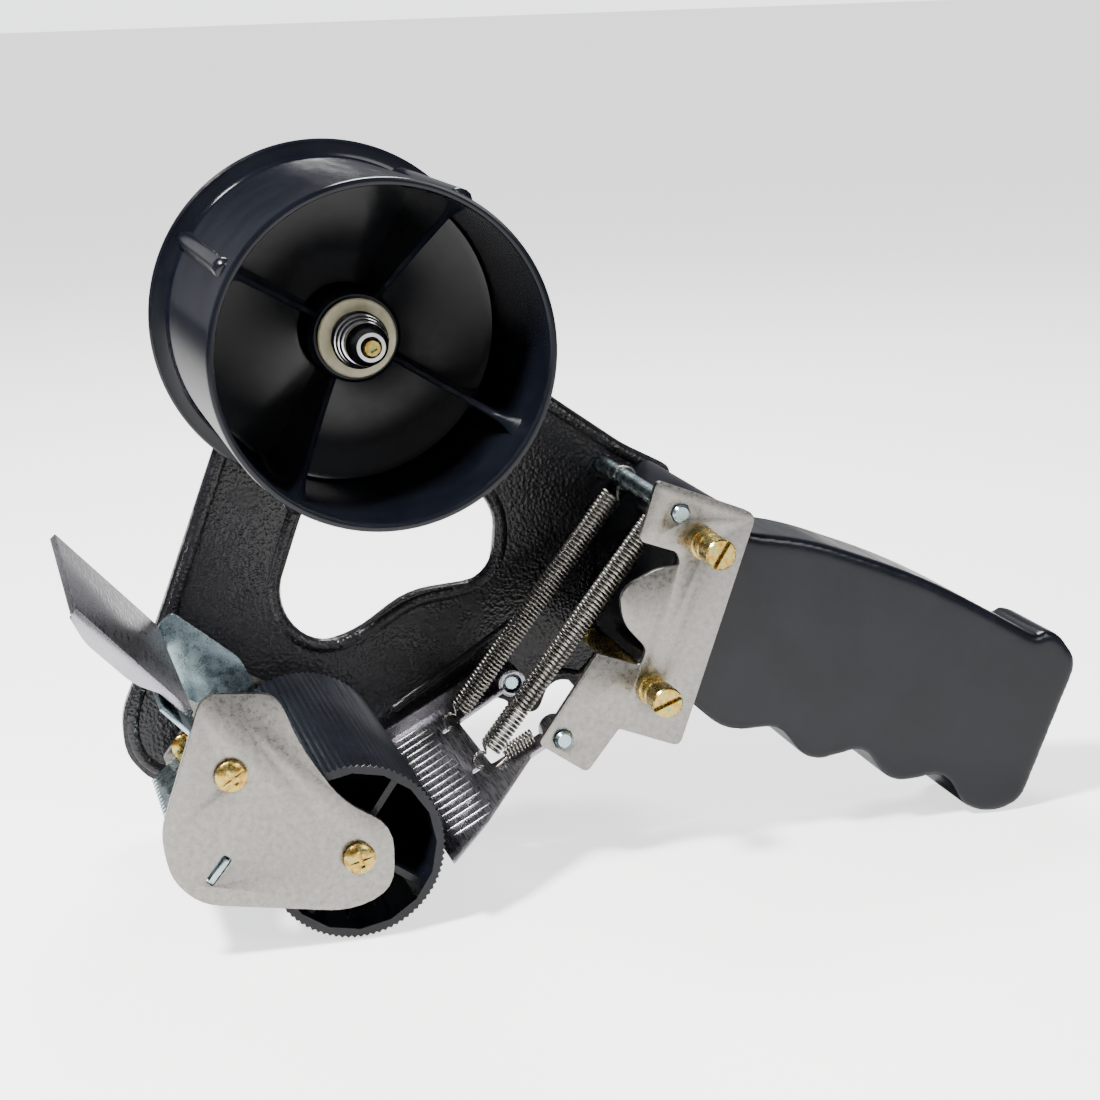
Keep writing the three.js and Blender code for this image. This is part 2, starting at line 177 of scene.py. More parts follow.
def crinkle_paint():
    paint = Finish("crinkle_paint", Metallic=0.0, IOR=1.5, Specular_IOR_Level=0.4)
    wrinkles = paint.cells(0.85, "SMOOTH_F1")
    grain = paint.noise(0.45, 4)
    height = wrinkles * 0.9 + grain * 0.4
    tone = paint.ramp(grain, [(0.3, (0.003, 0.003, 0.004)), (0.7, (0.011, 0.011, 0.013))])
    gloss = paint.range(paint.noise(9, 2), 0.35, 0.65, 0.17, 0.28)
    return paint.feed(Base_Color=tone, Roughness=gloss, Normal=paint.bump(height, 0.3, 0.8))


def black_plastic(name, low, high, ripple_mm):
    plastic = Finish(name, Metallic=0.0, IOR=1.5, Specular_IOR_Level=0.3)
    cloud = plastic.noise(14, 3)
    scuff = plastic.noise(2.5, 4, 0.6, plastic.stretched(1, 0.1, 1))
    tone = plastic.ramp(cloud, [(0.35, (0.0022, 0.0028, 0.0052)), (0.7, (0.0045, 0.0055, 0.009))])
    rough = plastic.range(scuff, 0.3, 0.75, low, high) + plastic.wear() * 0.08
    height = plastic.noise(ripple_mm, 2)
    return plastic.feed(Base_Color=tone, Roughness=rough, Normal=plastic.bump(height, 0.05, 0.4))


def plated(name, dark, light, low, high, mottle_mm=2.2):
    metal = Finish(name, Metallic=1.0)
    spangle = metal.noise(mottle_mm, 5, 0.65)
    fine = metal.noise(0.35, 3, 0.6)
    tone = metal.ramp(spangle, [(0.3, dark), (0.7, light)])
    rough = metal.range(spangle * 0.6 + fine * 0.4, 0.35, 0.65, low, high)
    return metal.feed(Base_Color=tone, Roughness=rough, Normal=metal.bump(fine, 0.02, 0.4))


def yellow_zinc():
    metal = Finish("yellow_zinc", Metallic=1.0)
    film = metal.noise(1.6, 2)
    tone = metal.ramp(film, [
        (0.25, (0.26, 0.12, 0.02)), (0.42, (0.44, 0.27, 0.06)), (0.55, (0.50, 0.38, 0.12)),
        (0.66, (0.30, 0.36, 0.13)), (0.8, (0.50, 0.14, 0.06))])
    rough = metal.range(metal.noise(0.5, 3), 0.3, 0.7, 0.18, 0.34)
    return metal.feed(Base_Color=tone, Roughness=rough, Normal=metal.bump(film, 0.03, 0.3))


def rolled_sheet():
    metal = Finish("rolled_sheet", Metallic=1.0)
    along = metal.stretched(1, 0.04, 1)
    brushed = metal.noise(0.25, 4, 0.6, along)
    cloud = metal.noise(16, 2)
    tone = metal.ramp(brushed * 0.5 + cloud * 0.5, [(0.3, (0.28, 0.27, 0.30)), (0.7, (0.38, 0.37, 0.40))])
    rough = metal.range(brushed, 0.3, 0.7, 0.22, 0.38)
    return metal.feed(Base_Color=tone, Roughness=rough, Normal=metal.bump(brushed, 0.02, 0.5))


def nylon():
    plastic = Finish("natural_nylon", Metallic=0.0)
    cloud = plastic.noise(2.5, 3)
    tone = plastic.ramp(cloud, [(0.3, (0.44, 0.40, 0.24)), (0.7, (0.58, 0.54, 0.38))])
    rough = plastic.range(cloud, 0.3, 0.7, 0.35, 0.5)
    return plastic.feed(Base_Color=tone, Roughness=rough, Normal=plastic.bump(cloud, 0.05, 0.4))


def pale_floor():
    floor = Finish("pale_floor", Metallic=0.0, Emission_Strength=1.6)
    cloud = floor.noise(300, 2)
    tone = floor.ramp(cloud, [(0.3, (0.90, 0.90, 0.90)), (0.7, (0.93, 0.93, 0.93))])
    rough = floor.range(cloud, 0.3, 0.7, 0.7, 0.8)
    seen = floor.node("ShaderNodeLightPath", {}, {}, output="Is Camera Ray")
    glow = floor.ramp(seen, [(0.0, (0, 0, 0)), (1.0, (1, 1, 1))])
    return floor.feed(Base_Color=tone, Roughness=rough, Emission_Color=glow)


PAINT = crinkle_paint()
DRUM_PLASTIC = black_plastic("drum_plastic", 0.13, 0.19, 8)
ROLLER_PLASTIC = black_plastic("roller_plastic", 0.26, 0.36, 4)
GRIP_PLASTIC = black_plastic("grip_plastic", 0.19, 0.27, 12)
NICKEL = plated("nickel_plate", (0.20, 0.192, 0.178), (0.31, 0.297, 0.275), 0.25, 0.38, 1.4)
ZINC = plated("blue_zinc", (0.27, 0.37, 0.41), (0.46, 0.57, 0.60), 0.2, 0.34, 4.0)
WIRE = plated("spring_wire", (0.30, 0.28, 0.25), (0.48, 0.46, 0.42), 0.2, 0.32, 1.0)
BRIGHT = plated("bright_washer", (0.60, 0.60, 0.62), (0.80, 0.80, 0.82), 0.1, 0.2, 2.0)
YELLOW = yellow_zinc()
SHEET = rolled_sheet()
NYLON = nylon()


# ---------------------------------------------------------------------------------------------
# Mesh helpers
# ---------------------------------------------------------------------------------------------
def show(name, mesh, material, smooth_degrees=32):
    """Puts a finished mesh into the scene as a piece."""
    mesh.materials.clear()
    mesh.materials.append(material)
    mesh.polygons.foreach_set("use_smooth", [True] * len(mesh.polygons))
    mesh.set_sharp_from_angle(angle=math.radians(smooth_degrees))
    piece = bpy.data.objects.new(name, mesh)
    bpy.context.scene.collection.objects.link(piece)
    return piece


def settle(piece, body, slot, *nodes):
    """Says which body a piece rides on and hides the nodes it stands for; the finish slot argument is not
    used.
    """
    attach(piece, body)
    if nodes:
        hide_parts(*nodes)
    return piece


def mesh_from(work, name):
    """Turns a working mesh into mesh data and frees it."""
    mesh = bpy.data.meshes.new(name)
    work.to_mesh(mesh)
    work.free()
    return mesh


def evaluated_mesh(holder):
    """The holder's mesh with its modifiers applied; the holder is then thrown away."""
    graph = bpy.context.evaluated_depsgraph_get()
    mesh = bpy.data.meshes.new_from_object(holder.evaluated_get(graph))
    bpy.data.objects.remove(holder)
    return mesh


def holder_for(mesh):
    holder = bpy.data.objects.new("work", mesh)
    bpy.context.scene.collection.objects.link(holder)
    return holder


def cleaned_copy(node):
    """A node's mesh with its triangles merged into whole faces."""
    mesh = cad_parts[node].data.copy()
    if mesh.has_custom_normals and "custom_normal" in mesh.attributes:
        mesh.attributes.remove(mesh.attributes["custom_normal"])
    work = bmesh.new()
    work.from_mesh(mesh)
    bmesh.ops.remove_doubles(work, verts=work.verts, dist=0.002 * MM)
    bmesh.ops.dissolve_limit(work, angle_limit=math.radians(0.6), verts=work.verts, edges=work.edges)
    work.to_mesh(mesh)
    work.free()
    return mesh


def refined(node, material, edge_mm, segments=2, bevel_degrees=40, smooth_degrees=32):
    """The node's shape with its sharp edges broken by a small round."""
    holder = holder_for(cleaned_copy(node))
    bevel = holder.modifiers.new("edges", "BEVEL")
    bevel.width = edge_mm * MM
    bevel.segments = segments
    bevel.limit_method = "ANGLE"
    bevel.angle_limit = math.radians(bevel_degrees)
    bevel.use_clamp_overlap = True
    return show(node + "_finished", evaluated_mesh(holder), material, smooth_degrees)


def turned(name, profile, centre, material, steps=64, smooth_degrees=32):
    """A piece turned about an axis along y from (radius, depth) pairs, which end on the axis or close."""
    work = bmesh.new()
    rings = []
    x, z = centre
    for radius, depth in profile:
        if radius == 0:
            rings.append([work.verts.new(at(x, depth, z))] * steps)
            continue
        turn = [2 * math.pi * i / steps for i in range(steps)]
        ring = [work.verts.new(at(x + radius * math.cos(a), depth, z + radius * math.sin(a))) for a in turn]
        rings.append(ring)
    closed = profile[0][0] > 0
    pairs = list(zip(rings, rings[1:] + ([rings[0]] if closed else [])))
    for low, high in pairs:
        for i in range(steps):
            j = (i + 1) % steps
            corners = [low[i], low[j], high[j], high[i]]
            unique = list(dict.fromkeys(corners))
            if len(unique) > 2:
                work.faces.new(unique)
    bmesh.ops.recalc_face_normals(work, faces=work.faces)
    return show(name, mesh_from(work, name), material, smooth_degrees)


def tube_mesh(name, points, radius_mm, sides=10, closed=False):
    """A round wire or bead along points in the row frame."""
    curve = bpy.data.curves.new(name, "CURVE")
    curve.dimensions = "3D"
    curve.bevel_depth = radius_mm * MM
    curve.bevel_resolution = max(1, sides // 4 - 1)
    curve.use_fill_caps = not closed
    spline = curve.splines.new("POLY")
    spline.points.add(len(points) - 1)
    for point, place in zip(spline.points, points):
        point.co = (*place, 1)
    spline.use_cyclic_u = closed
    return evaluated_mesh(holder_for(curve))


def joined(name, meshes):
    """Several meshes as one."""
    work = bmesh.new()
    for mesh in meshes:
        work.from_mesh(mesh)
    return mesh_from(work, name)


def carve(piece, cutter_mesh):
    """Cuts a mesh out of a piece."""
    cutter = holder_for(cutter_mesh)
    cut = piece.modifiers.new("cut", "BOOLEAN")
    cut.object = cutter
    cut.operation = "DIFFERENCE"
    cut.solver = "EXACT"
    graph = bpy.context.evaluated_depsgraph_get()
    mesh = bpy.data.meshes.new_from_object(piece.evaluated_get(graph))
    piece.modifiers.clear()
    piece.data = mesh
    bpy.data.objects.remove(cutter)
    return piece


def block_mesh(name, centre, size, turn=0.0):
    """A box in the row frame, its size in millimetres, turned about y."""
    work = bmesh.new()
    bmesh.ops.create_cube(work, size=1)
    shape = Matrix.Diagonal((*[s * MM for s in size], 1))
    spin = Matrix.Rotation(-turn, 4, "Y")
    bmesh.ops.transform(work, matrix=Matrix.Translation(centre) @ spin @ shape, verts=work.verts)
    return mesh_from(work, name)


# ---------------------------------------------------------------------------------------------
# Geometry Nodes: coils and evenly spaced ribs
# ---------------------------------------------------------------------------------------------
def new_tree(name, inputs):
    tree = bpy.data.node_groups.new(name, "GeometryNodeTree")
    tree.interface.new_socket(name="Geometry", in_out="OUTPUT", socket_type="NodeSocketGeometry")
    for label, kind, default in inputs:
        socket = tree.interface.new_socket(name=label, in_out="INPUT", socket_type=kind)
        socket.default_value = default
    return tree


def grown_mesh(tree, values):
    """Runs a tree with its named inputs set and gives back the plain mesh."""
    holder = holder_for(bpy.data.meshes.new("seed"))
    grow = holder.modifiers.new("grow", "NODES")
    grow.node_group = tree
    for item in tree.interface.items_tree:
        if item.in_out == "INPUT" and item.name in values:
            grow[item.identifier] = values[item.name]
    return evaluated_mesh(holder)


def place_nodes(tree):
    def add(kind, settings=None, links=None):
        made = tree.nodes.new(kind)
        for key, value in (settings or {}).items():
            setattr(made, key, value)
        for key, value in (links or {}).items():
            if isinstance(value, bpy.types.NodeSocket):
                tree.links.new(value, made.inputs[key])
            else:
                made.inputs[key].default_value = value
        return made
    return add


def finish_tree(tree, add, geometry, material):
    real = add("GeometryNodeRealizeInstances", links={"Geometry": geometry})
    coat = add("GeometryNodeSetMaterial", links={"Geometry": real.outputs[0], "Material": material})
    end = tree.nodes.new("NodeGroupOutput")
    tree.links.new(coat.outputs[0], end.inputs[0])


def coil_tree(material):
    """A helix of wire about +z, from the first radius to the last."""
    tree = new_tree("coil_spring", [
        ("Turns", "NodeSocketFloat", 10.0), ("Start Radius", "NodeSocketFloat", 0.003),
        ("End Radius", "NodeSocketFloat", 0.003), ("Length", "NodeSocketFloat", 0.02),
        ("Wire Radius", "NodeSocketFloat", 0.0004), ("Steps per Turn", "NodeSocketInt", 18)])
    add = place_nodes(tree)
    given = tree.nodes.new("NodeGroupInput").outputs
    spiral = add("GeometryNodeCurveSpiral", links={
        "Resolution": given["Steps per Turn"], "Rotations": given["Turns"],
        "Start Radius": given["Start Radius"], "End Radius": given["End Radius"],
        "Height": given["Length"]})
    section = add("GeometryNodeCurvePrimitiveCircle", links={"Resolution": 8, "Radius": given["Wire Radius"]})
    wire = add("GeometryNodeCurveToMesh", links={
        "Curve": spiral.outputs[0], "Profile Curve": section.outputs[0], "Fill Caps": True})
    finish_tree(tree, add, wire.outputs[0], material)
    return tree


COIL = coil_tree(WIRE)


def coil(foot, head, turns, start_mm, end_mm, wire_mm, steps=18):
    """A coil from foot to head, both in the row frame."""
    run = head - foot
    mesh = grown_mesh(COIL, {
        "Turns": float(turns), "Start Radius": start_mm * MM, "End Radius": end_mm * MM,
        "Length": run.length, "Wire Radius": wire_mm * MM, "Steps per Turn": steps})
    turn = run.to_track_quat("Z", "Y").to_matrix().to_4x4()
    mesh.transform(Matrix.Translation(foot) @ turn)
    return mesh


def rib_tree(material):
    """Evenly spaced low ribs along +y, each a flattened bead lying along +x."""
    tree = new_tree("sheet_ribs", [
        ("Count", "NodeSocketInt", 14), ("Spacing", "NodeSocketFloat", 0.005),
        ("Rib Length", "NodeSocketFloat", 0.014), ("Rib Width", "NodeSocketFloat", 0.0013),
        ("Rib Height", "NodeSocketFloat", 0.0006), ("Seed", "NodeSocketInt", 3)])
    add = place_nodes(tree)
    given = tree.nodes.new("NodeGroupInput").outputs
    step = add("ShaderNodeCombineXYZ", links={"Y": given["Spacing"]})
    line = add("GeometryNodeMeshLine", {"mode": "OFFSET"}, {
        "Count": given["Count"], "Offset": step.outputs[0]})
    bead = add("GeometryNodeMeshUVSphere", links={"Segments": 12, "Rings": 10, "Radius": 0.5})
    size = add("ShaderNodeCombineXYZ", links={
        "X": given["Rib Length"], "Y": given["Rib Width"], "Z": given["Rib Height"]})
    spread = add("FunctionNodeRandomValue", {"data_type": "FLOAT"}, {"Seed": given["Seed"]})
    spread.inputs[2].default_value = 0.75
    spread.inputs[3].default_value = 1.15
    vary = add("ShaderNodeCombineXYZ", links={"X": spread.outputs[1], "Y": 1.0, "Z": 1.0})
    scale = add("ShaderNodeVectorMath", {"operation": "MULTIPLY"})
    tree.links.new(size.outputs[0], scale.inputs[0])
    tree.links.new(vary.outputs[0], scale.inputs[1])
    ribs = add("GeometryNodeInstanceOnPoints", links={
        "Points": line.outputs[0], "Instance": bead.outputs[0], "Scale": scale.outputs[0]})
    finish_tree(tree, add, ribs.outputs[0], material)
    return tree


# ---------------------------------------------------------------------------------------------
# The frame plate: a pressed sheet with rolled rims
# ---------------------------------------------------------------------------------------------
def front_loops(node):
    """The closed loops of edges round a plate's front face."""
    work = bmesh.new()
    work.from_mesh(cleaned_copy(node))
    following = {}
    for face in work.faces:
        if face.normal.y > -0.99:
            continue
        for loop in face.loops:
            other = [f for f in loop.edge.link_faces if f is not face]
            if other and abs(other[0].normal.y) < 0.5:
                following[loop.vert.index] = loop.link_loop_next.vert.index
    places = {v.index: v.co.copy() for v in work.verts}
    work.free()
    loops = []
    while following:
        first = next(iter(following))
        chain = [first]
        step = following.pop(first)
        while step != first and step in following:
            chain.append(step)
            step = following.pop(step)
        loops.append([places[i] for i in chain])
    return loops


def even_loop(points, spacing):
    """The loop's points, respaced evenly."""
    count = len(points)
    lengths = [(points[(i + 1) % count] - points[i]).length for i in range(count)]
    total = sum(lengths)
    wanted = max(12, int(total / spacing))
    result = []
    i, walked = 0, 0.0
    for k in range(wanted):
        target = total * k / wanted
        while walked + lengths[i] < target:
            walked += lengths[i]
            i += 1
        result.append(points[i].lerp(points[(i + 1) % count], (target - walked) / lengths[i]))
    return result


def inset_loop(points, inset, y, smooth_rounds=6):
    """The loop moved into the material and set at a depth, with its corners eased."""
    count = len(points)
    moved = []
    for i, here in enumerate(points):
        along = (points[(i + 1) % count] - points[i - 1]).normalized()
        inward = Vector((0, -1, 0)).cross(along)
        moved.append(here + inward * inset)
    for _ in range(smooth_rounds):
        moved = [(moved[i - 1] + moved[i] * 2 + moved[(i + 1) % count]) / 4 for i in range(count)]
    return [Vector((p.x, y, p.z)) for p in moved]


RIM_BEAD_R, RIM_INSET, RIM_DEPTH = 1.9, 2.1, 0.9
RIM_STEP, RIM_FEWEST = 2.2, 30  # bead spacing, and the fewest points of a loop that gets a bead
RIDGE_R, RIDGE_Y, RIDGE_STEPS = 1.4, 79.7, 8
RIDGES = (((12.8, 24.5), (48.5, 46.8)), ((-33, 80), (-24, 103)))


def frame_plate():
    """The plate, a rounded bead round its outline and window, and two pressed ridges."""
    front_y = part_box("frame_plate")[0].y
    plate = refined("frame_plate", PAINT, 0.9, 3)
    settle(plate, "frame", "crinkle_paint", "frame_plate")
    beads = []
    for points in front_loops("frame_plate"):
        around = even_loop(points, RIM_STEP * MM)
        if len(around) < RIM_FEWEST:
            continue
        eased = inset_loop(around, RIM_INSET * MM, front_y + RIM_DEPTH * MM)
        beads.append(tube_mesh("rim", eased, RIM_BEAD_R, 12, True))
    for start, end in RIDGES:
        a, b = at(start[0], RIDGE_Y, start[1]), at(end[0], RIDGE_Y, end[1])
        places = [a.lerp(b, t / RIDGE_STEPS) for t in range(RIDGE_STEPS + 1)]
        beads.append(tube_mesh("ridge", places, RIDGE_R, 12))
    rims = show("frame_rims", joined("frame_rims", beads), PAINT, 60)
    settle(rims, "frame", "crinkle_paint")


# ---------------------------------------------------------------------------------------------
# Moulded parts
# ---------------------------------------------------------------------------------------------
RIB_DEGREES = (58, 148, 238, 328)
WALL_R, BORE_R, FLANGE_R = 37.7, 35.8, 42.0
WEB_Y, HUB_Y, HUB_R, BACK_Y = 50, 34, 10.4, 77.6


def drum_wall():
    """The flanged wall, the web and the hub as one turned moulding."""
    flange_y = BACK_Y - 1.8
    return turned("wall", [
        (BORE_R, 0.7), (BORE_R + 0.25, 0.15), (BORE_R + 0.7, 0), (WALL_R - 0.7, 0), (WALL_R - 0.2, 0.2),
        (WALL_R, 0.8), (WALL_R, flange_y - 1.2), (WALL_R + 0.5, flange_y - 0.3), (WALL_R + 1.4, flange_y),
        (FLANGE_R - 0.5, flange_y), (FLANGE_R, flange_y + 0.5), (FLANGE_R, BACK_Y - 0.4),
        (FLANGE_R - 0.4, BACK_Y), (BORE_R, BACK_Y), (BORE_R, WEB_Y + 2), (HUB_R, WEB_Y + 2), (HUB_R, 74),
        (4.4, 74), (4.4, HUB_Y), (HUB_R - 0.8, HUB_Y), (HUB_R, HUB_Y + 0.8), (HUB_R, WEB_Y - 1.2),
        (HUB_R + 0.4, WEB_Y - 0.3), (HUB_R + 1.4, WEB_Y), (BORE_R - 2.2, WEB_Y), (BORE_R - 0.6, WEB_Y - 0.6),
        (BORE_R, WEB_Y - 2.2), (BORE_R, 0.7)], HUB, DRUM_PLASTIC, 160)


def drum_rib(degrees):
    """A thin rib whose free edge slopes from the rim down to the hub, with swept feet at the wall."""
    work = bmesh.new()
    turn = Matrix.Translation(at(0, 0, AXIS_HEIGHT)) @ Matrix.Rotation(-math.radians(degrees), 4, "Y")
    stations = 18
    rows = []
    for i in range(stations + 1):
        share = i / stations
        radius = HUB_R - 0.6 + (BORE_R + 0.6 - HUB_R + 0.6) * share
        top = HUB_Y + 0.8 - (HUB_Y - 7.5) * share ** 1.15
        half = 0.85 + 1.5 * max(0.0, share - 0.86) / 0.14
        row = []
        foot = WEB_Y + 0.5
        edge = top + 0.5
        for side, depth in ((-1, foot), (-1, edge), (-0.55, top), (0.55, top), (1, edge), (1, foot)):
            flare = half * (1.5 if depth > WEB_Y else 1.0)
            row.append(work.verts.new(turn @ Vector((radius * MM, depth * MM, side * flare * MM))))
        rows.append(row)
    for low, high in zip(rows, rows[1:]):
        for k in range(6):
            work.faces.new([low[k], low[(k + 1) % 6], high[(k + 1) % 6], high[k]])
    work.faces.new(rows[0])
    work.faces.new(rows[-1])
    bmesh.ops.recalc_face_normals(work, faces=work.faces)
    return mesh_from(work, "rib")


def drum_key(degrees):
    """A half-round key along the outside of the wall that grips the tape's core."""
    a = math.radians(degrees)
    points = []
    for i in range(15):
        depth = 7.6 + (BACK_Y - 2.4 - 7.6) * i / 14
        radius = WALL_R - 0.7 + 0.9 * i / 14
        points.append(at(radius * math.cos(a), depth, AXIS_HEIGHT + radius * math.sin(a)))
    return tube_mesh("key", points, 2.3, 20)


def drum():
    """The moulding, and the four keys cut off flush inside the wall."""
    wall = drum_wall()
    extras = [drum_rib(d) for d in RIB_DEGREES]
    keys = [drum_key(d) for d in RIB_DEGREES]
    moulding = joined("drum_moulding", [wall.data, *extras])
    bpy.data.objects.remove(wall)
    shown = show("drum_moulding", moulding, DRUM_PLASTIC, 40)
    settle(shown, "drum", "black_plastic", "drum_shell", "drum_core")
    bore = turned("bore", [(0, -5), (BORE_R + 0.4, -5), (BORE_R + 0.4, 90), (0, 90)], HUB, DRUM_PLASTIC, 96)
    core_keys = show("drum_keys", joined("drum_keys", keys), DRUM_PLASTIC, 50)
    carve(core_keys, bore.data.copy())
    bpy.data.objects.remove(bore)
    settle(core_keys, "drum", "black_plastic")


def roller():
    piece = refined("roller", ROLLER_PLASTIC, 0.06, 1, 70, 20)
    settle(piece, "roller", "black_plastic", "roller")


def grip():
    """The grip's edges are large soft rounds, so the shape is remeshed finely and relaxed."""
    holder = holder_for(cleaned_copy("handle"))
    grid = holder.modifiers.new("grid", "REMESH")
    grid.mode = "VOXEL"
    grid.voxel_size = 0.8 * MM
    relax = holder.modifiers.new("relax", "SMOOTH")
    relax.factor = 0.5
    relax.iterations = 22
    piece = show("grip_moulding", evaluated_mesh(holder), GRIP_PLASTIC, 60)
    settle(piece, "frame", "black_plastic", "handle")


# ---------------------------------------------------------------------------------------------
# Turned hardware
# ---------------------------------------------------------------------------------------------
def hub_stack():
    """Everything on the drum's bolt, from the bolt itself to the locking collar."""
    bolt = turned("axle_bolt_finished", [
        (0, 14.3), (1.7, 14.3), (2.05, 14.8), (2.05, 82.4), (3.9, 82.4), (4.2, 82.8), (4.2, 85.1),
        (3.8, 85.6), (0, 85.6)], HUB, YELLOW)
    bolt = carve(bolt, block_mesh("tip_slot", at(0, 14.3, AXIS_HEIGHT), (1.6, 1.6, 1.6), 0.5))
    settle(bolt, "frame", "yellow_zinc", "axle_bolt")
    nylon_washer = turned("friction_washer_finished", [
        (2.5, 32.1), (8.6, 32.1), (8.9, 32.4), (8.9, 33.3), (8.6, 33.6), (2.5, 33.6)], HUB, NYLON)
    settle(nylon_washer, "frame", "nylon", "friction_washer")
    washer = turned("flat_washer_finished", [
        (2.5, 30.5), (6.0, 30.5), (6.25, 30.8), (6.25, 31.5), (6.0, 31.7), (2.5, 31.7)], HUB, BRIGHT)
    settle(washer, "frame", "nickel_plate", "flat_washer")
    x, z = HUB
    cone = coil(at(x, 29.6, z), at(x, 23.4, z), 3.3, 5.9, 4.2, 0.85, 40)
    spring = show("brake_spring_coil", cone, BRIGHT, 70)
    settle(spring, "frame", "spring_steel", "brake_spring")
    nut = turned("brake_nut_finished", [
        (2.4, 17.7), (3.1, 17.7), (3.9, 18.3), (4.6, 19.6), (4.8, 20.8), (4.8, 22.2), (4.6, 22.5),
        (2.4, 22.5)], HUB, BRIGHT)
    settle(nut, "brake_nut", "nickel_plate", "brake_nut")
    collar = turned("lock_collar_finished", [
        (2.4, 15.8), (3.2, 15.8), (3.5, 16.1), (3.5, 17.1), (3.2, 17.4), (2.4, 17.4)], HUB, BRIGHT)
    settle(collar, "frame", "yellow_zinc", "lock_collar")


def cross_screw(node, centre, head_y, radius, shank_end, turn):
    """A domed screw head with a cross recess and a straight slot."""
    dome = [(radius * math.sin(a), head_y + 1.2 * (1 - math.cos(a))) for a in (0, 0.35, 0.7, 1.0, 1.3)]
    profile = dome + [
        (radius, head_y + 1.0), (radius, head_y + 1.9), (1.6, head_y + 1.9), (1.6, shank_end), (0, shank_end)]
    piece = turned(node + "_finished", profile, centre, YELLOW, 48)
    x, z = centre
    arms = [block_mesh("arm", at(x, head_y, z), (radius * 2.4, 1.2, 0.75), turn),
            block_mesh("arm", at(x, head_y, z), (radius * 1.1, 2.0, 0.9), turn + math.pi / 2)]
    for arm in arms:
        carve(piece, arm)
    settle(piece, "frame", "yellow_zinc", node)


def slotted_screw(node, centre, head_y, end_y, turn):
    """A shouldered screw: slotted cheese head, a groove and a collar against the bracket."""
    profile = [
        (0, head_y), (3.25, head_y), (3.55, head_y + 0.35), (3.55, head_y + 5.6), (3.3, head_y + 5.9),
        (2.7, head_y + 6.1), (2.7, head_y + 7.4), (3.3, head_y + 7.6), (3.3, head_y + 9.2),
        (2.7, head_y + 9.4), (2.7, head_y + 10.6), (3.6, head_y + 10.8), (3.6, 15.9), (2.0, 15.9),
        (2.0, end_y), (0, end_y)]
    piece = turned(node + "_finished", profile, centre, YELLOW, 56)
    x, z = centre
    carve(piece, block_mesh("slot", at(x, head_y, z), (9, 2.4, 1.15), turn))
    settle(piece, "frame", "yellow_zinc", node)


def round_bar(node, body, slot, material, radius, y0, y1, centre, chamfer=0.3):
    piece = turned(node + "_finished", [
        (0, y0), (radius - chamfer, y0), (radius, y0 + chamfer), (radius, y1 - chamfer),
        (radius - chamfer, y1), (0, y1)], centre, material, 40)
    settle(piece, body, slot, node)


def hardware():
    cross_screw("roller_axle_screw", ROLLER_AXLE, -11.2, 3.5, -7.4, 0.25)
    cross_screw("guard_pivot_screw", GUARD_PIVOT, -11.1, 3.5, -7.4, 0.55)
    cross_screw("far_side_screw", FAR_SCREW, 70.9, 3.2, 78.6, 0.9)
    slotted_screw("bracket_screw_upper", UPPER_SCREW, 1.8, 78.6, 1.0)
    slotted_screw("bracket_screw_lower", LOWER_SCREW, 2.4, 22.0, 0.35)
    round_bar("spring_rod", "frame", "zinc_plate", ZINC, 2.1, 14.8, 78.6, SPRING_ROD, 0.5)
    round_bar("tongue_pin_near", "frame", "zinc_plate", ZINC, 2.15, 14.5, 24.9, TONGUE_PIN, 0.6)
    round_bar("tongue_pin_far", "frame", "zinc_plate", ZINC, 2.15, 64, 78.6, TONGUE_PIN, 0.6)
    round_bar("guard_pivot", "frame", "zinc_plate", ZINC, 2.4, -7.1, 16, GUARD_PIVOT)
    round_bar("roller_axle", "frame", "zinc_plate", ZINC, 3.0, -7.1, 78.6, ROLLER_AXLE)
    stud = turned("lower_stud_finished", [
        (0, 22.4), (2.6, 22.4), (2.6, 60), (2.1, 60.6), (2.1, 61.2), (2.6, 61.8), (2.6, 65.2),
        (2.1, 66.5), (1.2, 67.2), (0, 67.4)], LOWER_SCREW, YELLOW, 40)
    settle(stud, "frame", "yellow_zinc", "lower_stud")


# ---------------------------------------------------------------------------------------------
# Springs
# ---------------------------------------------------------------------------------------------
COIL_R, COIL_WIRE, COIL_PITCH = 2.35, 0.42, 1.02
HOOK_R, EYE_R = 2.75, 1.9  # the ring round the rod and the eye through the tongue


def tension_spring(side):
    """A close-wound coil with a hook round the rod and a hook through the tongue."""
    y = SPRING_DEPTHS[side]
    foot = at(SPRING_FOOT[0], y, SPRING_FOOT[1])
    head = at(SPRING_ROD[0], y, SPRING_ROD[1])
    along = (head - foot).normalized()
    across = Vector((0, 1, 0)).cross(along)
    start = foot + along * 4.6 * MM
    end = head - along * 5.2 * MM
    body = coil(start, end, (end - start).length / (COIL_PITCH * MM), COIL_R, COIL_R, COIL_WIRE, 18)
    ring = []
    for i in range(19):
        a = math.radians(-90 + 300 * i / 18)
        ring.append(head + (along * math.sin(a) + across * math.cos(a)) * HOOK_R * MM)
    neck = [end - along * 0.3 * MM + across * 2.3 * MM, end + along * 0.9 * MM + across * 1.2 * MM]
    top = tube_mesh("hook", neck + ring, COIL_WIRE, 12)
    lower = []
    for i in range(15):
        a = math.radians(90 + 290 * i / 14)
        lower.append(foot + along * 1.1 * MM + (along * math.sin(a) + across * math.cos(a)) * EYE_R * MM)
    tail = [start + along * 0.3 * MM - across * 2.2 * MM, start - along * 0.7 * MM - across * 0.9 * MM]
    bottom = tube_mesh("hook", tail + lower, COIL_WIRE, 12)
    piece = show("tension_spring_%s_coil" % side, joined("spring", [body, top, bottom]), WIRE, 70)
    settle(piece, "springs", "spring_steel", "tension_spring_" + side)


